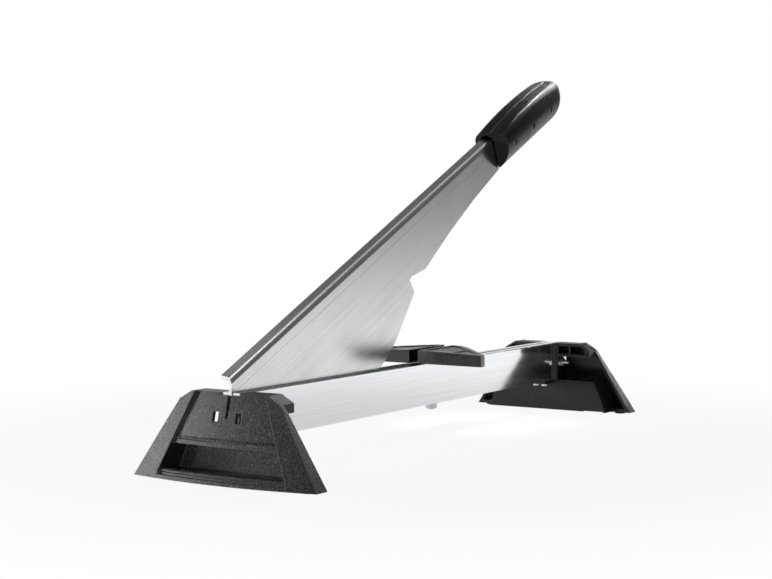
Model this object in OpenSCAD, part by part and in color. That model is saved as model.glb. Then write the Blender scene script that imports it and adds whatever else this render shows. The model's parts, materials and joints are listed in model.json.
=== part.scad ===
// Laminate cutter: a hand lever shear for floor boards, on two feet and a double rail.
// X runs along the rail with the pivot at -X, Y runs across, Z is up from the floor.

/* [Feet] */
// Distance between the outer bottom edges of the two feet
span = 526; // [480:1:620]
// Width of a foot at the bottom
foot_w = 160; // [148:1:180]
// Height of the deck above the bottom of the foot
foot_h = 63; // [60:0.5:70]
// Width across the shoulders
shoulder_w = 88; // [84:1:96]
// Height of the sloping shoulder
shoulder_h = 6; // [4:0.5:7]
// Width of the flat deck
deck_w = 67; // [62:1:78]
// Depth of the deck from the outer bottom edge
deck_depth = 25; // [24:0.5:30]
// Height of the deck block
deck_t = 12.5; // [11:0.5:14]
// How far the outer face bows out over its width
face_bulge = 9; // [6:0.5:12]
// Lean of the outer face
face_lean = 14.5; // [10:0.5:15]
// Wall thickness of the moulding
wall = 3; // [2.5:0.1:3.5]
// Depth of the side rims from the outer bottom edge
rim_depth = 13; // [11:0.5:16]
// How far the centre panel lies behind the border
panel_recess = 2.5; // [1.5:0.1:3]
// Width between the borders at the bottom
panel_foot_w = 116; // [108:1:120]
// Width between the borders at the deck
panel_deck_w = 61; // [56:1:64]
// Height of the border under the finger grip
border_h = 2.8; // [2:0.1:4]
// Height of the finger grip's sill
sill_h = 5; // [4.5:0.5:7]
// Depth of the finger grip from the outer bottom edge
grip_depth = 22; // [18:0.5:23]
// Radius of the rolled edges over and under the finger grip
roll_r = 2.5; // [2:0.1:3]
// Width of a sight hole
sight_w = 4.8; // [4:0.1:6]
// Height of a sight hole
sight_h = 7.2; // [6:0.1:9]
// Distance of a sight hole from the middle
sight_y = 10; // [9.5:0.1:14]
// Width of the narrow pocket in the deck
pocket_narrow = 11; // [8:0.5:12]
// Width of the wide pocket in the deck
pocket_wide = 15; // [12:0.5:17]
// Height of the deck pockets
pocket_h = 7.4; // [6:0.1:8]
// Width of the pull notch in the bottom edge
notch_w = 20; // [12:1:24]
// Height of the pull notch
notch_h = 2; // [1:0.1:2.5]
// Diameter of a rubber pad
pad_d = 9.5; // [8:0.1:11]
// Height that the pads stand below the feet
pad_proud = 1.2; // [0.8:0.1:2]
// Distance of a pad from the foot's end
pad_end = 12; // [10:0.5:16]

/* [Rails] */
// Height of a rail
rail_h = 34.5; // [30:0.5:36]
// Width of one rail
rail_w = 6.4; // [6:0.1:8]
// Wall thickness of a rail
rail_wall = 1.8; // [1.6:0.1:2.4]
// Blade slot between the rails
blade_slot = 3.5; // [3.3:0.1:4.5]
// Distance of a rail's end from the foot's outer bottom edge
rail_inset = 11; // [10.5:0.5:14]
// Length of the tongue that carries the rails
tongue_l = 20; // [17:0.5:30]

/* [Bolts] */
// Distance of a cross bolt from the foot's outer bottom edge
pivot_x = 18.8; // [18:0.1:19.5]
// Depth of a cross bolt below the deck
pivot_drop = 18.2; // [17:0.1:19.5]
// Thread of a cross bolt
cross_d = 4; // [4:1:5]
// Diameter of the sleeves that the cross bolts hold
sleeve_d = 8; // [7.5:0.1:9]
// Thread of the stop's bolt
stop_bolt_d = 5; // [4:1:6]
// Thread of the rail screws
rail_screw_d = 3; // [2.5:0.5:3.5]

/* [Lever] */
// Rise of the lever in the pose shown
rest_angle = 25; // [18:0.1:32]
// Thickness of the sheet
sheet = 2.2; // [2:0.1:2.6]
// Height of the bent back's far edge above the pivot
back_v = 31.3; // [30:0.1:34]
// Width of the bent back
back_w = 9.1; // [8.5:0.1:9.4]
// Rise of the bent back towards its far edge
back_rise = 12; // [5:0.5:20]
// Outer radius of the bend
fold_r = 4.8; // [4:0.1:5.4]
// Depth of the fine line below the far edge
line_drop = 12.3; // [11:0.1:14]
// Distance of the front edge ahead of the pivot
nose = 9; // [8:0.1:9.5]
// Distance of the front edge ahead of the pivot, inside the foot
nose_low = 6.6; // [6.4:0.1:7.5]
// Radius of the heel round the pivot
heel_r = 13; // [11:0.1:14]
// Distance of the blade's tip from the pivot, along the lever
tip_u = 168; // [160:1:180]
// Depth of the blade's tip below the pivot line
tip_v = 62; // [58:0.5:64]
// Distance of the blade's upper corner along the lever
corner_u = 249; // [246:0.5:252]
// Depth of the blade's upper corner
corner_v = 31.2; // [29:0.1:33]
// Length of the notch behind the blade
notch_u = 24; // [20:0.5:28]
// Height of the notch behind the blade
notch_v = 13.9; // [11:0.1:15]
// Depth of the arm's lower edge behind the notch
arm_v = 21.7; // [19:0.1:22]
// Upward bow of the arm's lower edge
arm_bow = 2.7; // [0:0.1:4]
// Height of the bevel along the cutting edge
bevel_h = 7; // [5:0.5:9]

/* [Handle] */
// Distance of the handle's front from the pivot
handle_u = 423.5; // [415:0.5:435]
// Length of the handle
handle_l = 125; // [120:1:135]
// Width of the handle
handle_w = 32.6; // [31:0.1:36]
// Top of the handle above the lever line, at its highest
handle_top = 39.5; // [38.8:0.1:43]
// Radius of the bow along the handle's top
handle_bow = 550; // [450:10:800]
// Rounding of the handle's shoulders
handle_r = 8.5; // [7:0.1:10]
// Radius of the handle's sides, which draw in to the bottom
side_r = 28; // [27:0.5:30]
// Height of the handle's widest place
belly_v = 26.4; // [25.5:0.1:27.5]
// Wall thickness of the handle
handle_wall = 2.6; // [2.4:0.1:2.8]
// Spacing of the handle's screws
screw_step = 38; // [36:0.5:39]
// Height of the handle's screws above the lever line
screw_v = 19.2; // [18.5:0.1:20]
// Thread of a handle screw
screw_d = 3.5; // [3:0.5:4]

/* [Stop] */
// Distance of the stop's front face from the front foot's edge
stop_x = 258; // [256:1:270]
// Length of the stop across the rail
stop_l = 127; // [110:1:140]
// Depth of the stop along the rail
stop_depth = 58; // [54:1:64]
// Depth of the stop's square ends
stop_side = 6; // [4:0.5:10]
// Width of the stop where it is drawn in
stop_waist = 44; // [36:1:52]
// Width of the stop's blunt back
stop_back = 24; // [18:1:30]
// Depth of the blunt back
stop_chamfer = 7; // [5:0.5:10]
// Height of the stop in the middle
stop_h = 11; // [10:0.1:12]
// Height of the stop at its ends
stop_end_h = 9.4; // [8.5:0.1:9.9]
// Gap in the stop for the blade
stop_gap = 8.4; // [8:0.1:9]
// Distance of the stop's bolt from its front face
stop_bolt_x = 29; // [27:0.5:32]
// Rim left round the pockets
stop_rim = 2.6; // [2:0.1:3.5]
// Depth of the pockets in the stop's top
stop_pocket = 0.6; // [0.4:0.1:2.5]
// Spacing of the upright lines on the stop's front face
mark_step = 16.4; // [14:0.1:18]
// Floor under the blade's way through the stop
stop_floor = 3.6; // [3.4:0.1:4]

/* [Clearances] */
// Gap all round a bolt in its hole
hole_gap = 0.15; // [0.1:0.05:0.3]
// Running gap between the sleeve and the lever
run_gap = 0.05; // [0.02:0.01:0.08]
// Gap between faces that slide past each other
slide_gap = 0.3; // [0.3:0.05:0.5]

/* [Hidden] */
$fn = 48;
eps = 0.01;
far = 400;

charcoal = [0.17, 0.17, 0.18];
black = [0.1, 0.1, 0.11];
rubber = [0.06, 0.06, 0.06];
aluminium = [0.86, 0.87, 0.89];
steel = [0.7, 0.72, 0.73];
zinc = [0.62, 0.63, 0.65];
nylon = [0.88, 0.87, 0.82];

// The outer face is part of a cone with an upright axis
face_r = (foot_w * foot_w / 4 + face_bulge * face_bulge) / (2 * face_bulge);
face_axis = face_r - face_bulge;
lean = tan(face_lean);
shoulder_z = foot_h - shoulder_h;
deck_z = foot_h - deck_t;
rail_low = foot_h - rail_h;
pivot_z = foot_h - pivot_drop;
slit = sheet + 2 * slide_gap;
rails_w = 2 * rail_w + blade_slot;
rail_y = rails_w / 2;
rib_y = rail_y + wall;
web_y = rail_y - rail_wall;
grip_top = rail_low - wall;
sill_step = 0.5;
panel_slope = (panel_foot_w - panel_deck_w) / (2 * foot_h);
roll_z = rail_low + roll_r / 4;
pad_x = rim_depth * 0.62;
pad_y = foot_w / 2 - pad_end;
pad_stem_d = pad_d * 0.42;

// Fasteners follow their thread
nut_h_ratio = 0.8;
function across_flats(d) = 1.5 * d + 1;
function washer_d(d) = 2 * d + 1;
function washer_t(d) = 0.2 * d;
function head_h(d) = 0.7 * d;
function head_d(d) = 1.9 * d;
cross_hole = cross_d + 2 * hole_gap;
stop_hole = stop_bolt_d + 2 * hole_gap;
cross_stack = rib_y + washer_t(cross_d);
cross_tail = 5;
rail_screw_x = deck_depth + tongue_l * 0.64;
rail_screw_y = (blade_slot / 2 + web_y) / 2 + 0.3;

// Places along the lever, u along it and v square to it
far_y = back_w - sheet / 2;
fold_y = fold_r - sheet / 2;
flange_l = (far_y - fold_y + fold_r * sin(back_rise)) / cos(back_rise);
fold_v = back_v - fold_r * cos(back_rise) - flange_l * sin(back_rise);
bend_steps = 24;
line_v = back_v - line_drop;
edge_u = heel_r * 1.6;
edge_v = heel_r * 0.9;
notch_top = notch_v - corner_v;
arm_u = corner_u + notch_u;
hand_v = 0.6;
tip_curve = [[0.12, 0.03], [0.24, 0.09], [0.48, 0.28]];
mouth = 3 * handle_wall;
mouth_r = back_w / 2 + 2.5;
mouth_y = far_y - back_w / 2 + 1.3;
mouth_v = back_v - 4.9;
knob_u = handle_u + handle_l - handle_w / 2;
knob_step = 0.15;
top_u = handle_u + 0.52 * handle_l;
tang_end = knob_u - handle_wall;
tang_v = belly_v - sqrt(pow(side_r - handle_wall, 2) - pow(side_r - handle_w / 2 + sheet / 2, 2)) + 0.6;
screw_u = handle_u + handle_l * 0.116;
boss_d = 2.5 * screw_d;
screw_seat = handle_w / 2 - 2.2 - head_h(screw_d);

// The stop and its bolt
stop_pin_x = stop_x + stop_bolt_x;
stop_z = foot_h + slide_gap;
stop_head = 0.4 * stop_bolt_d;
stop_head_d = stop_bolt_d + 2 * stop_head;
block_l = 3 * stop_bolt_d;
line_depth = 0.3;
mark_w = 0.6;
seam_w = 0.7;

// Prism along X of an outline in Y and Z
module along_x(x0, x1) {
    translate([x0, 0, 0]) rotate([90, 0, 90]) linear_extrude(x1 - x0) children();
}

// Prism across Y, centred, of an outline in X and Z
module across_y(width) {
    rotate([90, 0, 0]) linear_extrude(width, center = true) children();
}

module rod_y(d, y0, y1) {
    translate([0, y0, 0]) rotate([-90, 0, 0]) cylinder(d = d, h = y1 - y0);
}

module box(x0, x1, y0, y1, z0, z1) {
    translate([x0, y0, z0]) cube([x1 - x0, y1 - y0, z1 - z0]);
}

module on_floor() {
    translate([-span / 2, 0, pad_proud]) children();
}

module turned() {
    translate([span, 0, 0]) rotate([0, 0, 180]) children();
}

module both_sides() {
    children();
    mirror([0, 1, 0]) children();
}

// The outer face, moved in by a depth
module face_cone(depth) {
    top = foot_h + 20;
    translate([face_axis, 0, -10])
        cylinder(r1 = face_r - depth + 10 * lean, r2 = face_r - depth - top * lean, h = top + 10, $fn = 96);
}

module foot_outline(inset) {
    low = foot_w / 2 - inset;
    mid = shoulder_w / 2 - inset;
    top = deck_w / 2 - inset;
    polygon([
        [-low, 0], [low, 0], [mid, shoulder_z], [top, foot_h],
        [-top, foot_h], [-mid, shoulder_z]
    ]);
}

// The space between the borders, from one height to another
module panel_outline(z0, z1, grow) {
    low = panel_foot_w / 2 - panel_slope * z0 + grow;
    top = panel_foot_w / 2 - panel_slope * z1 + grow;
    polygon([[-low, z0], [low, z0], [top, z1], [-top, z1]]);
}

module foot_shell() {
    skin = wall + panel_recess;
    difference() {
        intersection() {
            union() {
                along_x(-face_bulge - 1, rim_depth) foot_outline(0);
                intersection() {
                    along_x(0, deck_depth) foot_outline(0);
                    box(0, deck_depth, -shoulder_w / 2, shoulder_w / 2, deck_z, foot_h);
                }
            }
            face_cone(0);
        }
        intersection() {
            box(-far, far, -far, far, wall, deck_z);
            along_x(-face_bulge, deck_depth + 1) foot_outline(wall);
            face_cone(skin);
        }
    }
}

// Box behind the finger grip, which also carries the rails
module grip_box() {
    intersection() {
        along_x(-face_bulge, deck_depth) panel_outline(0, rail_low, wall);
        face_cone(eps);
    }
}

module grip_hollow() {
    along_x(-far, grip_depth) panel_outline(sill_h, grip_top, 0);
}

// Sinks the face between the borders, from one height to another
module panel_cut(z0, z1, grow) {
    difference() {
        along_x(-face_bulge - 1, deck_depth) panel_outline(z0, z1, grow);
        face_cone(panel_recess);
    }
}

// Rolled edge that runs along the bottom of the panel
module panel_roll(z, r) {
    radius = face_r - panel_recess - z * lean - 0.85 * r;
    intersection() {
        translate([face_axis, 0, z]) rotate_extrude($fn = 96) translate([radius, 0]) circle(r);
        along_x(-face_bulge, rim_depth) panel_outline(0, foot_h, 0);
    }
}

module rail_ribs() {
    both_sides() intersection() {
        box(-face_bulge, deck_depth, rail_y, rib_y, rail_low - eps, deck_z + eps);
        face_cone(wall);
    }
}

module tongue() {
    box(grip_depth, deck_depth + tongue_l, -rail_y, rail_y, grip_top, rail_low);
}

module deck_pockets() {
    z0 = deck_z + (deck_t - pocket_h) / 2;
    narrow_y = rib_y + 1;
    wide_y = narrow_y + pocket_narrow + wall / 2;
    both_sides() {
        box(deck_depth / 2, deck_depth + 1, narrow_y, narrow_y + pocket_narrow, z0, z0 + pocket_h);
        intersection() {
            box(deck_depth / 2, deck_depth + 1, wide_y, wide_y + pocket_wide, z0, z0 + pocket_h);
            along_x(0, deck_depth + 1) foot_outline(wall);
        }
    }
}

module rail_way() {
    box(rail_inset, far, -rail_y, rail_y, rail_low, foot_h + 1);
    box(-far, far, -rail_y, rail_y, foot_h - rail_wall, foot_h + 1);
}

module foot() {
    sight_z = pivot_z + 1.2;
    difference() {
        union() {
            difference() {
                union() {
                    foot_shell();
                    grip_box();
                }
                panel_cut(border_h, sill_h + sill_step, -sill_step);
                panel_cut(grip_top, foot_h + 1, 0);
                grip_hollow();
            }
            panel_roll(roll_z, roll_r);
            panel_roll(sill_h, roll_r);
            rail_ribs();
            tongue();
        }
        rail_way();
        deck_pockets();
        box(-far, rail_inset, -slit / 2, slit / 2, pivot_z + 0.4, foot_h + 1);
        both_sides() box(
            -far, rail_inset, sight_y - sight_w / 2, sight_y + sight_w / 2,
            sight_z - sight_h / 2, sight_z + sight_h / 2
        );
        translate([pivot_x, 0, pivot_z]) rod_y(cross_hole, -far, far);
        both_sides() translate([rail_screw_x, rail_screw_y, 0])
            cylinder(d = rail_screw_d + 2 * hole_gap, h = rail_low + 1);
        both_sides() translate([pad_x, pad_y, -1]) cylinder(d = pad_stem_d, h = wall + 1.6);
        box(grip_depth - 2, far, panel_foot_w / 2 - notch_w, panel_foot_w / 2, -1, notch_h);
    }
}

module front_foot() {
    color(charcoal) on_floor() foot();
}

module rear_foot() {
    color(charcoal) on_floor() turned() foot();
}

module foot_pads() {
    both_sides() translate([pad_x, pad_y, 0]) {
        translate([0, 0, -pad_proud]) cylinder(d = pad_d, h = pad_proud);
        cylinder(d = pad_stem_d, h = wall + 0.5);
    }
}

module front_foot_pads() {
    color(rubber) on_floor() foot_pads();
}

module rear_foot_pads() {
    color(rubber) on_floor() turned() foot_pads();
}

// Section of the left rail: an open channel that faces the blade
module rail_section() {
    inner = blade_slot / 2;
    bevel = rail_wall / 3;
    difference() {
        polygon([
            [inner, rail_low], [rail_y, rail_low], [rail_y, foot_h - bevel],
            [rail_y - bevel, foot_h], [inner, foot_h]
        ]);
        translate([inner - 1, rail_low + rail_wall])
            square([web_y - inner + 1, rail_h - 2 * rail_wall]);
    }
}

module rail() {
    difference() {
        along_x(rail_inset, span - rail_inset) rail_section();
        for (x = [pivot_x, span - pivot_x])
            translate([x, 0, pivot_z]) rod_y(cross_hole, 0, far);
        for (x = [rail_screw_x, span - rail_screw_x])
            translate([x, rail_screw_y, 0]) cylinder(d = rail_screw_d, h = rail_low + 2 * rail_wall);
        translate([stop_pin_x, 0, 0]) cylinder(d = stop_hole, h = foot_h + 1);
    }
}

module rail_left() {
    color(aluminium) on_floor() rail();
}

module rail_right() {
    color(aluminium) on_floor() mirror([0, 1, 0]) rail();
}

module hex(d, h) {
    cylinder(d = across_flats(d) / cos(30), h = h, $fn = 6);
}

module washer(d) {
    difference() {
        cylinder(d = washer_d(d), h = washer_t(d));
        translate([0, 0, -1]) cylinder(d = d + 2 * hole_gap, h = washer_t(d) + 2);
    }
}

module nut(d) {
    difference() {
        hex(d, nut_h_ratio * d);
        translate([0, 0, -1]) cylinder(d = d, h = d + 2);
    }
}

// Puts a fastener's Z axis along -Y, starting at the right-hand face of the stack
module at_right(y) {
    translate([pivot_x, -y, pivot_z]) rotate([90, 0, 0]) children();
}

module at_left(y) {
    translate([pivot_x, y, pivot_z]) rotate([-90, 0, 0]) children();
}

module cross_bolt() {
    at_left(cross_stack) hex(cross_d, head_h(cross_d));
    translate([pivot_x, 0, pivot_z])
        rod_y(cross_d, -cross_stack - nut_h_ratio * cross_d - cross_tail, cross_stack + eps);
}

module cross_nut() {
    at_right(cross_stack) nut(cross_d);
}

module cross_washers() {
    at_right(rib_y) washer(cross_d);
    at_left(rib_y) washer(cross_d);
}

module cross_sleeve() {
    translate([pivot_x, 0, pivot_z]) difference() {
        rod_y(sleeve_d, -web_y, web_y);
        rod_y(cross_hole, -far, far);
    }
}

module pivot_bolt() {
    color(zinc) on_floor() cross_bolt();
}

module pivot_nut() {
    color(zinc) on_floor() cross_nut();
}

module pivot_washers() {
    color(zinc) on_floor() cross_washers();
}

module pivot_sleeve() {
    color(steel) on_floor() cross_sleeve();
}

// Rings on the sleeve that keep the blade in the middle of the slot
module pivot_side_spacers() {
    ring_y = sheet / 2 + slide_gap;
    color(nylon) on_floor() both_sides() translate([pivot_x, 0, pivot_z]) difference() {
        rod_y(sleeve_d + 3 * wall, ring_y, web_y);
        rod_y(sleeve_d, 0, far);
    }
}

module rear_side() {
    translate([span, 0, 0]) mirror([1, 0, 0]) children();
}

module rear_cross_bolt() {
    color(zinc) on_floor() rear_side() cross_bolt();
}

module rear_cross_nut() {
    color(zinc) on_floor() rear_side() cross_nut();
}

module rear_cross_washers() {
    color(zinc) on_floor() rear_side() cross_washers();
}

module rear_spacer_sleeve() {
    color(steel) on_floor() rear_side() cross_sleeve();
}

module rail_screws() {
    both_sides() translate([rail_screw_x, rail_screw_y, 0]) {
        translate([0, 0, grip_top - head_h(rail_screw_d)])
            cylinder(d = head_d(rail_screw_d), h = head_h(rail_screw_d));
        translate([0, 0, grip_top - eps]) cylinder(d = rail_screw_d, h = wall + rail_wall);
    }
}

module front_rail_screws() {
    color(zinc) on_floor() rail_screws();
}

module rear_rail_screws() {
    color(zinc) on_floor() rear_side() rail_screws();
}

// Countersunk bolt, flush with the floor of the blade's way through the stop
module stop_bolt() {
    top = stop_z + stop_floor - slide_gap;
    tail = rail_low - washer_t(stop_bolt_d) - stop_bolt_d;
    color(zinc) on_floor() translate([stop_pin_x, 0, 0]) {
        translate([0, 0, tail]) cylinder(d = stop_bolt_d, h = top - stop_head - tail + eps);
        translate([0, 0, top - stop_head]) cylinder(d1 = stop_bolt_d, d2 = stop_head_d, h = stop_head);
    }
}

module stop_washer() {
    color(zinc) on_floor() translate([stop_pin_x, 0, rail_low - washer_t(stop_bolt_d)]) washer(stop_bolt_d);
}

module stop_nut() {
    h = nut_h_ratio * stop_bolt_d;
    color(zinc) on_floor() translate([stop_pin_x, 0, rail_low - washer_t(stop_bolt_d) - h]) nut(stop_bolt_d);
}

module stop_spacer_block() {
    color(nylon) on_floor() difference() {
        box(
            stop_pin_x - block_l / 2, stop_pin_x + block_l / 2, -web_y, web_y,
            rail_low + rail_wall, foot_h - rail_wall
        );
        translate([stop_pin_x, 0, 0]) cylinder(d = stop_hole, h = foot_h);
    }
}

// Places lever pieces, drawn with u along X and v along Z
module on_lever() {
    on_floor() translate([pivot_x, 0, pivot_z]) rotate([0, -rest_angle, 0]) children();
}

module blade_outline() {
    circle(heel_r);
    polygon(concat(
        [[-heel_r, -nose / 2], [-nose / 2, -heel_r], [0, -heel_r], [edge_u, -edge_v], [tip_u, -tip_v]],
        [for (p = tip_curve) [tip_u + p[0] * (corner_u - tip_u), -tip_v + p[1] * (tip_v - corner_v)]],
        [[corner_u, -corner_v], [corner_u - 2, notch_top - 1.3], [corner_u + 2, notch_top]],
        [for (t = [0, 1 / 3, 2 / 3, 1]) [
            arm_u + t * (handle_u - arm_u), -arm_v + t * (arm_v + hand_v) + 4.5 * arm_bow * t * (1 - t)
        ]],
        [[handle_u + mouth / 2, tang_v], [tang_end, tang_v], [tang_end, fold_v], [-heel_r, fold_v]]
    ));
}

// Point on the bend, in Y and v, as it turns from the sheet to the flange
function bend_point(r, t) = let (a = 180 - t * (90 - back_rise)) [fold_y + r * cos(a), fold_v + r * sin(a)];

// Section of the back: a bend, and a flange that rises to the far edge
module back_section() {
    low_edge = [far_y + sheet * sin(back_rise), back_v - sheet * cos(back_rise)];
    polygon(concat(
        [for (i = [0:bend_steps]) bend_point(fold_r, i / bend_steps)],
        [[far_y, back_v], low_edge],
        [for (i = [bend_steps:-1:0]) bend_point(fold_r - sheet, i / bend_steps)]
    ));
}

// Cuts the far side of the cutting edge to a single bevel
module bevel_cut() {
    land = 0.3;
    drop = tip_v - edge_v;
    run = tip_u - edge_u;
    translate([edge_u, 0, -edge_v]) rotate([0, atan2(drop, run), 0])
        along_x(-heel_r, sqrt(run * run + drop * drop) + 5)
            polygon([
                [land - sheet / 2, -5], [sheet, -5], [sheet, bevel_h],
                [sheet / 2, bevel_h], [land - sheet / 2, 0]
            ]);
}

module lever_blade() {
    color(steel) difference() {
        on_lever() difference() {
            union() {
                across_y(sheet) blade_outline();
                along_x(-heel_r, tang_end) back_section();
            }
            rod_y(sleeve_d + 2 * run_gap, -far, far);
            for (i = [0:2])
                translate([screw_u + i * screw_step, 0, screw_v]) rod_y(screw_d + 2 * hole_gap, -far, far);
            bevel_cut();
            translate([0, 0, line_v]) box(-far, handle_u, -sheet, line_depth / 2 - sheet / 2, -0.2, 0.2);
        }
        on_floor() box(pivot_x - nose - far, pivot_x - nose, -far, far, 0, far);
        on_floor() box(pivot_x - nose - far, pivot_x - nose_low, -far, far, 0, foot_h - rail_wall);
    }
}

// Sides of the handle, in Y and v, moved in by a depth
module handle_sides(inset) {
    off = side_r - handle_w / 2;
    intersection() {
        translate([off, belly_v]) circle(side_r - inset);
        translate([-off, belly_v]) circle(side_r - inset);
    }
}

// Shoulders of the handle under a given top
module handle_shoulders(inset, top) {
    r = handle_r - inset;
    half = handle_w / 2 - inset;
    peak = top - inset;
    for (side = [-1, 1]) translate([side * (half - r), peak - r]) circle(r);
    translate([r - half, 0]) square([2 * (half - r), peak]);
    translate([-half, 0]) square([2 * half, peak - r]);
}

// Solid of the handle, moved in by a depth: a bowed grip with a round end
module handle_solid(inset, from) {
    drop = handle_bow - sqrt(handle_bow * handle_bow - pow(knob_u - top_u, 2));
    intersection() {
        translate([top_u, 0, handle_top - handle_bow]) rotate([90, 0, 0])
            rotate_extrude($fn = 360) translate([handle_bow - handle_top, 0]) rotate(90) mirror([0, 1])
                handle_shoulders(inset, handle_top);
        along_x(from, knob_u) handle_sides(inset);
    }
    translate([knob_u, 0, 0]) rotate(-90) rotate_extrude(angle = 180) intersection() {
        handle_sides(inset + knob_step);
        handle_shoulders(inset + knob_step, handle_top - drop);
        translate([0, -far]) square(2 * far);
    }
}

// Mouth at the handle's front: an arch over the lever's back, open below
module mouth_section() {
    translate([mouth_y, mouth_v]) circle(mouth_r);
    translate([mouth_y - mouth_r, screw_v]) square([2 * mouth_r, mouth_v - screw_v]);
    translate([mouth_y - mouth_r, -far]) square([2 * (mouth_r - mouth_y), far + screw_v + eps]);
}

// Groove along the top, where the halves meet
module seam_groove() {
    translate([top_u, 0, handle_top - handle_bow]) rotate([90, 0, 0]) intersection() {
        difference() {
            cylinder(r = handle_bow + 5, h = seam_w, center = true, $fn = 360);
            cylinder(r = handle_bow - seam_w, h = 2 * seam_w, center = true, $fn = 360);
        }
        translate([handle_u - top_u - 1, 0, -1]) cube([knob_u - handle_u, 2 * handle_bow, 2]);
    }
}

module handle_half(side) {
    difference() {
        union() {
            difference() {
                handle_solid(0, handle_u);
                seam_groove();
                along_x(handle_u - 1, handle_u + mouth) mouth_section();
                handle_solid(handle_wall, handle_u + mouth - eps);
                translate([0, side > 0 ? -far : 0, -far]) cube([3 * far, far, 2 * far]);
            }
            for (i = [0:2]) translate([screw_u + i * screw_step, 0, screw_v]) mirror([0, side > 0 ? 0 : 1, 0])
                rod_y(boss_d, sheet / 2, handle_w / 2 - handle_wall);
        }
        for (i = [0:2]) translate([screw_u + i * screw_step, 0, screw_v]) {
            rod_y(screw_d + 2 * hole_gap, -far, 0);
            rod_y(screw_d, 0, handle_w / 2 - handle_wall - 1);
            rod_y(head_d(screw_d) + 2 * hole_gap, -far, -screw_seat);
        }
    }
}

module handle_left_half() {
    color(black) on_lever() handle_half(1);
}

module handle_right_half() {
    color(black) on_lever() handle_half(-1);
}

module handle_screws() {
    head = head_h(screw_d);
    color(zinc) on_lever() for (i = [0:2]) translate([screw_u + i * screw_step, 0, screw_v]) {
        rod_y(screw_d, -screw_seat - eps, handle_w / 2 - handle_wall - 2);
        difference() {
            rod_y(head_d(screw_d), -screw_seat - head, -screw_seat);
            translate([0, -screw_seat - head, 0]) rotate([90, 0, 0])
                cylinder(d = screw_d / cos(30), h = head, center = true, $fn = 6);
        }
    }
}

// Plan of the stop: straight in front, drawn in to a blunt back
module stop_plan(inset) {
    end = stop_l / 2 - inset;
    tail = stop_depth - inset;
    waist = (stop_waist - inset) / 2;
    back = (stop_back - inset) / 2;
    polygon([
        [inset, -end], [inset, end], [stop_side, end], [tail - stop_chamfer, waist], [tail, back],
        [tail, -back], [tail - stop_chamfer, -waist], [stop_side, -end]
    ]);
}

module stop_front_outline() {
    end = stop_l / 2;
    polygon([
        [-end, 0], [end, 0], [end, stop_end_h], [stop_gap / 2, stop_h],
        [-stop_gap / 2, stop_h], [-end, stop_end_h]
    ]);
}

// Shallow pockets that follow the top of each arm, with ribs left between them
module stop_pockets() {
    first = stop_gap / 2 + stop_rim;
    step = (stop_l / 2 - stop_rim - first) / 2;
    difference() {
        intersection() {
            linear_extrude(far) stop_plan(2 * stop_rim);
            both_sides() for (i = [0:1])
                box(0, far, first + i * step, first + (i + 1) * step - stop_rim / 2, stop_floor, far);
        }
        translate([0, 0, -stop_pocket]) along_x(0, stop_depth) stop_front_outline();
    }
}

module angle_stop() {
    sink = stop_head + 2.5 * slide_gap;
    color(black) on_floor() translate([stop_x, 0, stop_z]) difference() {
        intersection() {
            linear_extrude(stop_h) stop_plan(0);
            along_x(0, stop_depth) stop_front_outline();
        }
        stop_pockets();
        both_sides() for (i = [1:3])
            box(-1, line_depth, i * mark_step - mark_w / 2, i * mark_step + mark_w / 2, -1, far);
        box(-1, far, -stop_gap / 2, stop_gap / 2, stop_floor, far);
        box(-1, stop_bolt_x - stop_bolt_d, -stop_gap / 2, stop_gap / 2, -1, far);
        translate([stop_bolt_x, 0, -1]) cylinder(d = stop_bolt_d + 2 * run_gap, h = far);
        translate([stop_bolt_x, 0, stop_floor - sink])
            cylinder(d1 = stop_bolt_d, d2 = stop_bolt_d + 2 * sink, h = sink);
    }
}

front_foot();
rear_foot();
front_foot_pads();
rear_foot_pads();
rail_left();
rail_right();
pivot_bolt();
pivot_nut();
pivot_washers();
pivot_sleeve();
pivot_side_spacers();
rear_cross_bolt();
rear_cross_nut();
rear_cross_washers();
rear_spacer_sleeve();
front_rail_screws();
rear_rail_screws();
stop_bolt();
stop_washer();
stop_nut();
stop_spacer_block();
lever_blade();
handle_left_half();
handle_right_half();
handle_screws();
angle_stop();
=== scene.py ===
import json
import math

import bpy
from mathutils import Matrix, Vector


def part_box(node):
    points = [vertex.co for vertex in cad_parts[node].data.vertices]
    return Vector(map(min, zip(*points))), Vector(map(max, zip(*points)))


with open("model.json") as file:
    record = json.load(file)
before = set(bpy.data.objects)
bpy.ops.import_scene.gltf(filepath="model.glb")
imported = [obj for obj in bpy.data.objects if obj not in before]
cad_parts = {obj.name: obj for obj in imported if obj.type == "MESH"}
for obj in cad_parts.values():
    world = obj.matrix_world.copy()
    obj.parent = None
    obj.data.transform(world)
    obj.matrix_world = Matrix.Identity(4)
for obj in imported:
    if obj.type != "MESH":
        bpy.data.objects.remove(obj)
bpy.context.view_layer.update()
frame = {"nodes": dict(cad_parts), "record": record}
nodes = frame["nodes"]

MM = 0.001

# The lever as photographed: its angle above the rails, and the direction that its back faces
REST_ANGLE = math.radians(25)
LEVER_UP = Vector((-math.sin(REST_ANGLE), 0, math.cos(REST_ANGLE)))

# Y and Z of the direction that a foot's sloping side faces
SIDE_SLOPE = (0.845, 0.534)

# Distances from the handle's seam where its painted highlight line starts to fade and has faded out
SEAM_LINE = (0.5 * MM, 0.9 * MM)

# How far the arms of the stop reach from the middle, and where their end faces begin to show
STOP_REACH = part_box("angle_stop")[1][1]
STOP_ENDS = (0.95 * STOP_REACH, 0.98 * STOP_REACH)

# Most values of a noise lie between these
NOISE_LOW = 0.3
NOISE_HIGH = 0.7


# Shader nodes

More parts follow.
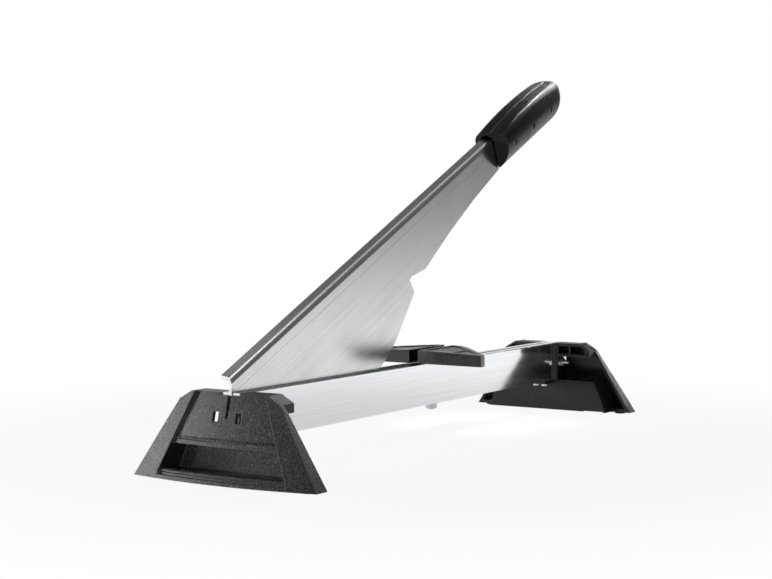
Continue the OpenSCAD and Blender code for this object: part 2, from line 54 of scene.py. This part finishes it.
def add(mat, kind, inputs=None, **settings):
    """Adds a shader node; an input is a constant or another node's output socket."""
    node = mat.node_tree.nodes.new("ShaderNode" + kind)
    for key, value in settings.items():
        setattr(node, key, value)
    for key, value in (inputs or {}).items():
        if isinstance(value, bpy.types.NodeSocket):
            mat.node_tree.links.new(value, node.inputs[key])
        else:
            node.inputs[key].default_value = value
    return node


def new_material(name, **constants):
    """A Principled material, with the sockets that are the same all over set at once."""
    mat = bpy.data.materials.new(name)
    mat.use_nodes = True
    shader = mat.node_tree.nodes["Principled BSDF"]
    for key, value in constants.items():
        shader.inputs[key.replace("_", " ")].default_value = value
    return mat, shader


def feed(mat, shader, **sockets):
    """Links sockets to the shader's inputs of the same names."""
    for key, socket in sockets.items():
        mat.node_tree.links.new(socket, shader.inputs[key.replace("_", " ")])


def grey(level, tint=(1, 1, 1)):
    """An opaque grey of this level, tinted if need be."""
    return tuple(level * c for c in tint) + (1,)


def mid(low, high):
    """The colour halfway between two colours."""
    return tuple((a + b) / 2 for a, b in zip(low, high))


def calc(mat, operation, *values, **settings):
    """The result of a Math node."""
    return add(mat, "Math", dict(enumerate(values)), operation=operation, **settings).outputs[0]


def times(mat, first, second):
    """The product of two values."""
    return calc(mat, "MULTIPLY", first, second)


def dot(mat, first, second):
    """The dot product of two vectors."""
    return add(mat, "VectorMath", {0: first, 1: second}, operation="DOT_PRODUCT").outputs["Value"]


def axes(mat, vector):
    """The X, Y and Z sockets of a vector."""
    return add(mat, "SeparateXYZ", {"Vector": vector}).outputs


def blend(mat, fac, low, high):
    """The first colour where fac is 0, the second where it is 1."""
    return add(mat, "MixRGB", {"Fac": fac, "Color1": low, "Color2": high}).outputs["Color"]


def span(mat, value, start, end, low=0.0, high=1.0):
    """Runs from low to high as the value runs from start to end, and stays level outside that."""
    settings = {"Value": value, "From Min": start, "From Max": end, "To Min": low, "To Max": high}
    return add(mat, "MapRange", settings).outputs["Result"]


def ramp(mat, fac, stops):
    """A colour that runs through stops, each a position and a colour."""
    node = add(mat, "ValToRGB", {"Fac": fac})
    elements = node.color_ramp.elements
    while len(elements) < len(stops):
        elements.new(0.5)
    for element, (position, colour) in zip(elements, stops):
        element.position = position
        element.color = colour
    return node.outputs["Color"]


def place(mat, stretch=(1, 1, 1), turn=0.0):
    """Object coordinates, turned about Y and then stretched."""
    coords = add(mat, "TexCoord").outputs["Object"]
    turned = add(mat, "Mapping", {"Vector": coords, "Rotation": (0, turn, 0)}).outputs["Vector"]
    return add(mat, "Mapping", {"Vector": turned, "Scale": stretch}).outputs["Vector"]


def noise(mat, vector, size, detail=2.0, rough=0.5):
    """A noise whose features have about this size, in metres."""
    settings = {"Vector": vector, "Scale": 1 / size, "Detail": detail, "Roughness": rough}
    return add(mat, "TexNoise", settings).outputs["Fac"]


def soft_edges(mat, radius):
    """The surface normal, rounded along edges."""
    return add(mat, "Bevel", {"Radius": radius}, samples=4).outputs["Normal"]


def relief(mat, height, strength, depth, normal=None):
    """The surface's normal, or the one given, roughened by a height."""
    settings = {"Height": height, "Strength": strength, "Distance": depth}
    if normal is not None:
        settings["Normal"] = normal
    return add(mat, "Bump", settings).outputs["Normal"]


# Masks: 1 where a finish or painted light applies, 0 elsewhere

def worn_and_highlit_edges(mat, rounded):
    """The edges, where the rounded normal leaves the surface; their lighter tone is wear and partly a
    painted highlight.
    """
    flat = add(mat, "NewGeometry").outputs["Normal"]
    return span(mat, dot(mat, rounded, flat), 0.8, 0.99, 1.0, 0.0)


def outside_of_feet(mat):
    """The feet's outer faces and sloping sides, but not their inside or under rolled edges."""
    coords = add(mat, "TexCoord").outputs
    facing = axes(mat, coords["Normal"])
    along = axes(mat, coords["Object"])["X"]
    outward = span(mat, times(mat, facing["X"], along), 0.01, 0.06)
    outer = times(mat, outward, span(mat, facing["Z"], -0.2, -0.05))
    aside = times(mat, calc(mat, "ABSOLUTE", facing["Y"]), SIDE_SLOPE[0])
    slope = calc(mat, "ADD", aside, times(mat, facing["Z"], SIDE_SLOPE[1]))
    return calc(mat, "MAXIMUM", outer, span(mat, slope, 0.8, 0.95))


def handle_painted_highlights(mat):
    """Painted highlights: a light line along the seam on the handle's back, and more faintly on its
    shoulders.
    """
    seam_highlight_share = 0.7
    shoulder_highlight_share = 0.12
    coords = add(mat, "TexCoord").outputs
    up = dot(mat, coords["Normal"], LEVER_UP)
    aside = calc(mat, "ABSOLUTE", axes(mat, coords["Normal"])["Y"])
    from_seam = calc(mat, "ABSOLUTE", axes(mat, coords["Object"])["Y"])
    line = span(mat, from_seam, *SEAM_LINE, seam_highlight_share, 0.0)
    seam = times(mat, line, span(mat, up, 0.5, 0.8))
    # The shoulders lighter where the highlight falls: a painted highlight
    shoulders = span(mat, times(mat, up, aside), 0.35, 0.5, 0.0, shoulder_highlight_share)
    return calc(mat, "MAXIMUM", seam, shoulders)


def stop_ends_painted_light(mat):
    """Painted light on the end faces of the stop's arms, in specks."""
    coords = add(mat, "TexCoord").outputs
    square = calc(mat, "ABSOLUTE", axes(mat, coords["Normal"])["Y"])
    far = calc(mat, "ABSOLUTE", axes(mat, coords["Object"])["Y"])
    ends = times(mat, span(mat, square, 0.9, 0.98), span(mat, far, *STOP_ENDS))
    specks = noise(mat, place(mat), size=0.8 * MM)
    return times(mat, ends, span(mat, specks, 0.35, 0.65, 0.5, 1.0))


# Materials

# Scales of a noise that draw it out into streaks along X
FINE_STREAKS = (0.004, 1, 1)
BROAD_STREAKS = (0.03, 1, 1)


def grained(name, inner, dark, light, edge_tone, grain, rough, edge):
    """Grained plastic: light specks and a rough relief outside, smooth and darker inside."""
    mat, shader = new_material(name, Specular_IOR_Level=0.32)
    edge_share = 0.6
    edge_polish = 0.15
    inner_polish = 0.1
    coords = place(mat)
    cells = noise(mat, coords, size=grain, detail=2.0, rough=0.6)
    specks = noise(mat, coords, size=grain, detail=1.0)
    patch = noise(mat, coords, size=25 * MM)
    outside = outside_of_feet(mat)
    rounded = soft_edges(mat, edge)
    # Edges lighter: wear, and partly a painted highlight
    wear_and_highlight = worn_and_highlit_edges(mat, rounded)
    speckled = ramp(mat, specks, [(0.5, dark), (0.62, mid(dark, light)), (0.72, light)])
    plain = ramp(mat, patch, [(NOISE_LOW, inner), (NOISE_HIGH, mid(inner, dark))])
    surface = blend(mat, outside, plain, speckled)
    colour = blend(mat, times(mat, wear_and_highlight, edge_share), surface, edge_tone)
    roughness = span(mat, outside, 0.0, 1.0, rough - inner_polish, rough)
    roughness = calc(mat, "SUBTRACT", roughness, times(mat, wear_and_highlight, edge_polish))
    normal = relief(mat, times(mat, cells, outside), strength=0.7, depth=0.4 * grain, normal=rounded)
    feed(mat, shader, Base_Color=colour, Roughness=roughness, Normal=normal)
    return mat


def moulded(name, dark, light, edge_tone, grain, bump, rough, edge, shine=0.5, painted_light=None, painted_light_tone=0.5):
    """Moulded plastic or rubber: a fine relief, faint patches, edges lighter by wear and partly a painted
    highlight, and the places of a painted-light mask lighter as painted light.
    """
    mat, shader = new_material(name, Specular_IOR_Level=shine)
    edge_share = 0.5
    coords = place(mat)
    coarse = noise(mat, coords, size=grain, detail=3.0, rough=0.65)
    patch = noise(mat, coords, size=30 * MM)
    rounded = soft_edges(mat, edge)
    surface = ramp(mat, coarse, [(0.35, dark), (0.55, mid(dark, light)), (0.7, light)])
    # Painted light: the places of the mask take a lighter tone
    if painted_light:
        surface = blend(mat, painted_light(mat), surface, grey(painted_light_tone))
    colour = blend(mat, times(mat, worn_and_highlit_edges(mat, rounded), edge_share), surface, edge_tone)
    roughness = span(mat, patch, NOISE_LOW, NOISE_HIGH, rough - 0.04, rough + 0.05)
    normal = relief(mat, coarse, strength=bump, depth=0.4 * grain, normal=rounded)
    feed(mat, shader, Base_Color=colour, Roughness=roughness, Normal=normal)
    return mat


def brushed(name, tone, tint, turn, streak, rough, stretch, metal):
    """Brushed or drawn metal: fine streaks and a stretched shine along the turned X axis."""
    mat, shader = new_material(name, Metallic=metal, Anisotropic=stretch, Anisotropic_Rotation=0.25)
    fine = noise(mat, place(mat, FINE_STREAKS, turn), size=streak, detail=2.0, rough=0.6)
    broad = noise(mat, place(mat, BROAD_STREAKS, turn), size=8 * streak)
    cloud = noise(mat, place(mat), size=60 * MM)
    darker = grey(0.93 * tone, tint)
    lighter = grey(1.05 * tone, tint)
    colour = ramp(mat, fine, [(NOISE_LOW, darker), (0.5, grey(tone, tint)), (NOISE_HIGH, lighter)])
    roughness = span(mat, times(mat, broad, cloud), 0.1, 0.4, rough - 0.02, rough + 0.03)
    along = add(mat, "CombineXYZ", {"X": math.cos(turn), "Z": math.sin(turn)}).outputs["Vector"]
    tangent = add(mat, "VectorTransform", {"Vector": along}, vector_type="VECTOR",
                  convert_from="OBJECT", convert_to="WORLD").outputs["Vector"]
    normal = relief(mat, cloud, strength=0.3, depth=0.4 * MM)
    feed(mat, shader, Base_Color=colour, Roughness=roughness, Normal=normal, Tangent=tangent)
    return mat


def plated(name, tone, tint, rough):
    """Plated steel: faint mottling, and edges lighter by wear and partly a painted highlight."""
    mat, shader = new_material(name, Metallic=1.0)
    edge = 0.2 * MM
    edge_share = 0.5
    mottle = noise(mat, place(mat), size=0.9 * MM, detail=3.0, rough=0.6)
    rounded = soft_edges(mat, edge)
    surface = ramp(mat, mottle, [(NOISE_LOW, grey(0.82 * tone, tint)), (NOISE_HIGH, grey(tone, tint))])
    colour = blend(mat, times(mat, worn_and_highlit_edges(mat, rounded), edge_share), surface, grey(0.85, tint))
    roughness = span(mat, mottle, NOISE_LOW, NOISE_HIGH, rough + 0.08, rough - 0.05)
    normal = relief(mat, mottle, strength=0.15, depth=0.05 * MM, normal=rounded)
    feed(mat, shader, Base_Color=colour, Roughness=roughness, Normal=normal)
    return mat


# Finishes by the record's material slots

FINISHES = {
    "foot_plastic": (grained, dict(
        inner=grey(0.024), dark=grey(0.009, (0.98, 1, 1.04)), light=grey(0.14, (0.98, 1, 1.02)),
        edge_tone=grey(0.3), grain=0.9 * MM, rough=0.36, edge=1.0 * MM,
    )),
    # The handle: its seam and shoulders lighter as a painted highlight
    "handle_plastic": (moulded, dict(
        dark=grey(0.02), light=grey(0.045), edge_tone=grey(0.2), grain=0.6 * MM, bump=0.14,
        rough=0.3, edge=0.5 * MM, shine=0.12, painted_light=handle_painted_highlights, painted_light_tone=0.45,
    )),
    # The stop: the ends of its arms lighter as painted light
    "stop_plastic": (moulded, dict(
        dark=grey(0.008), light=grey(0.014), edge_tone=grey(0.14), grain=0.6 * MM, bump=0.03,
        rough=0.24, edge=0.5 * MM, shine=0.6, painted_light=stop_ends_painted_light, painted_light_tone=0.65,
    )),
    "pad_rubber": (moulded, dict(
        dark=grey(0.008), light=grey(0.016), edge_tone=grey(0.03), grain=0.4 * MM, bump=0.3,
        rough=0.75, edge=0.4 * MM,
    )),
    "nylon": (moulded, dict(
        dark=grey(0.66, (1, 0.98, 0.92)), light=grey(0.74, (1, 0.985, 0.94)), edge_tone=grey(0.78),
        grain=1.2 * MM, bump=0.08, rough=0.45, edge=0.3 * MM,
    )),
    "blade_steel": (brushed, dict(
        tone=0.85, tint=(0.985, 1, 1.0), turn=REST_ANGLE, streak=0.3 * MM,
        rough=0.22, stretch=0.55, metal=1.0,
    )),
    "rail_aluminium": (brushed, dict(
        tone=0.95, tint=(0.955, 0.975, 1.0), turn=0.0, streak=0.4 * MM,
        rough=0.11, stretch=0.3, metal=0.95,
    )),
    "zinc": (plated, dict(tone=0.74, tint=(0.97, 0.985, 1.0), rough=0.26)),
    "sleeve_steel": (plated, dict(tone=0.6, tint=(1, 1, 1), rough=0.3)),
}


def dress_frame():
    """Each CAD node takes the finish of its slot in the record."""
    finish_of = {slot: make(slot, **values) for slot, (make, values) in FINISHES.items()}
    for part in frame["record"]["subparts"]:
        slots = nodes[part["node"]].data.materials
        slots.clear()
        slots.append(finish_of[part["material_slot"]])


# Camera, from the photograph's viewing angle; lens and sensor in millimetres

CAMERA_AZIMUTH = math.radians(-57.933)
CAMERA_ELEVATION = math.radians(3.136)
CAMERA_DISTANCE = 1.37898
CAMERA_TARGET = Vector((-0.04746, 0, 0.12737))
CAMERA_LENS = 80.32
CAMERA_SENSOR = 36


def make_camera():
    data = bpy.data.cameras.new("camera")
    data.sensor_width = CAMERA_SENSOR
    data.lens = CAMERA_LENS
    camera = bpy.data.objects.new("camera", data)
    level = math.cos(CAMERA_ELEVATION)
    back = Vector((
        math.sin(CAMERA_AZIMUTH) * level, -math.cos(CAMERA_AZIMUTH) * level, math.sin(CAMERA_ELEVATION)
    ))
    camera.location = CAMERA_TARGET + CAMERA_DISTANCE * back
    camera.rotation_euler = (-back).to_track_quat("-Z", "Y").to_euler()
    bpy.context.scene.collection.objects.link(camera)
    bpy.context.scene.camera = camera


# Floor

FLOOR_HALF = 6.0
FLOOR_TONE = 0.9


def floor_material():
    """White as seen, but for the object's shadow; dimmer in reflections near it, as painted shade, and
    towards -X and -Y.
    """
    mat = bpy.data.materials.new("floor")
    mat.use_nodes = True
    mat.node_tree.nodes.clear()
    path = add(mat, "LightPath").outputs
    coords = add(mat, "TexCoord").outputs["Object"]
    spot = axes(mat, coords)
    reach = add(mat, "VectorMath", {0: coords}, operation="LENGTH").outputs["Value"]
    mirrored_or_clear = calc(mat, "ADD", path["Is Glossy Ray"], path["Is Transmission Ray"])
    seen = calc(mat, "ADD", path["Is Camera Ray"], mirrored_or_clear)
    unshaded = span(mat, reach, 0.3, 0.55, 0.92, 1.0)
    white_share = calc(mat, "MULTIPLY", seen, unshaded, use_clamp=True)
    # Painted shade: the floor darker in reflections near the object
    painted_shade_near = span(mat, reach, 0.2, 0.6, 0.75, 1.0)
    dim_in_x = span(mat, spot["X"], -1.6, -0.5, 0.6, 1.0)
    dim_in_y = span(mat, spot["Y"], -2.4, -1.1, 0.25, 1.0)
    mirrored = times(mat, painted_shade_near, times(mat, dim_in_y, dim_in_x))
    tone = blend(mat, path["Is Glossy Ray"], grey(1.0), mirrored)
    matte = add(mat, "BsdfDiffuse", {"Color": grey(FLOOR_TONE)}).outputs[0]
    white = add(mat, "Emission", {"Color": tone, "Strength": 1.0}).outputs[0]
    surface = add(mat, "MixShader", {0: white_share, 1: matte, 2: white}).outputs[0]
    add(mat, "OutputMaterial", {"Surface": surface})
    return mat


def make_floor():
    corners = [(x * FLOOR_HALF, y * FLOOR_HALF, 0) for x, y in ((-1, -1), (1, -1), (1, 1), (-1, 1))]
    mesh = bpy.data.meshes.new("floor")
    mesh.from_pydata(corners, [], [(0, 1, 2, 3)])
    mesh.materials.append(floor_material())
    floor = bpy.data.objects.new("floor", mesh)
    bpy.context.scene.collection.objects.link(floor)


# World: tones from straight down, 0, through the horizon, 0.5, to straight up, 1

NEAR_SKY = [
    (0.48, grey(0.3)), (0.5, grey(0.2)), (0.55, grey(0.12)), (0.7, grey(0.1)), (1.0, grey(0.12))
]
FAR_SKY = [
    (0.48, grey(0.85)), (0.53, grey(0.85)), (0.6, grey(0.35)), (0.68, grey(0.12)), (1.0, grey(0.12))
]


def make_world():
    """White as seen; a studio to the object, pale low towards +Y and dimmer towards -X."""
    world = bpy.data.worlds.new("studio")
    bpy.context.scene.world = world
    world.use_nodes = True
    world.node_tree.nodes.clear()
    path = add(world, "LightPath").outputs
    direction = axes(world, add(world, "TexCoord").outputs["Generated"])
    height = span(world, direction["Z"], -1.0, 1.0)
    far_side = span(world, direction["Y"], -0.3, 0.3)
    sky = blend(world, far_side, ramp(world, height, NEAR_SKY), ramp(world, height, FAR_SKY))
    dim_in_x = span(world, direction["X"], -0.7, 0.0, 0.6, 1.0)
    studio = add(world, "Background", {"Color": sky, "Strength": dim_in_x}).outputs[0]
    white = add(world, "Background", {"Color": grey(1.0), "Strength": 1.0}).outputs[0]
    seen = calc(world, "ADD", path["Is Camera Ray"], path["Is Transmission Ray"])
    surface = add(world, "MixShader", {0: seen, 1: studio, 2: white}).outputs[0]
    add(world, "OutputWorld", {"Surface": surface})


# Lamps, and the places that two or more of them aim at

FRONT_FOOT = (-0.25, 0, 0.03)
LOWER_LEVER = (-0.2, 0, 0.08)


def make_lamp(name, at, towards, size, watts, grid=180):
    """An area lamp; its grid is the full angle, in degrees, that its light keeps to."""
    data = bpy.data.lights.new(name, "AREA")
    data.shape = "RECTANGLE"
    data.size, data.size_y = size
    data.energy = watts
    data.spread = math.radians(grid)
    lamp = bpy.data.objects.new(name, data)
    lamp.location = at
    lamp.rotation_euler = (Vector(towards) - Vector(at)).to_track_quat("-Z", "Y").to_euler()
    bpy.context.scene.collection.objects.link(lamp)


def make_lamps():
    # The front foot, from the camera's left, from the front and from beside the camera
    make_lamp("key", (-0.69, 0.9, 0.2), FRONT_FOOT, size=(0.3, 0.3), watts=5.6)
    make_lamp("front", (-1.27, 0.5, 0.1), FRONT_FOOT, size=(0.16, 0.08), watts=0.011, grid=12)
    make_lamp("fill", (-1.25, -0.55, 0.12), (-0.26, 0.02, 0.02), size=(0.1, 0.1), watts=0.016, grid=10)
    # The lever's back and fold, which mirror these lamps
    make_lamp("back", (0.26, 0.75, 1.31), LOWER_LEVER, size=(0.4, 0.4), watts=0.09)
    make_lamp("bend", (0.2, -0.38, 1.38), LOWER_LEVER, size=(0.25, 0.25), watts=0.4)
    make_lamp("over", (0.6, -0.12, 1.5), (0.1, 0, 0.2), size=(0.45, 1.2), watts=0.7)
    # The top of the handle
    make_lamp("grip", (0.43, -0.04, 0.8), (0.24, -0.01, 0.3), size=(0.07, 0.07), watts=0.11, grid=9)
    # The front foot's right side and shoulder, then the rear foot's sloping side
    make_lamp("right", (1.2, -0.2, 0.62), (-0.23, -0.05, 0.05), size=(0.1, 0.1), watts=0.01, grid=10)
    make_lamp("deck", (1.0, 0.05, 0.86), (-0.22, -0.05, 0.06), size=(0.1, 0.1), watts=0.01, grid=8)
    make_lamp("rear", (1.2, -0.25, 0.55), (0.27, -0.06, 0.03), size=(0.1, 0.1), watts=0.05, grid=16)


dress_frame()
make_camera()
make_floor()
make_world()
make_lamps()

bpy.context.scene.view_settings.view_transform = "Standard"
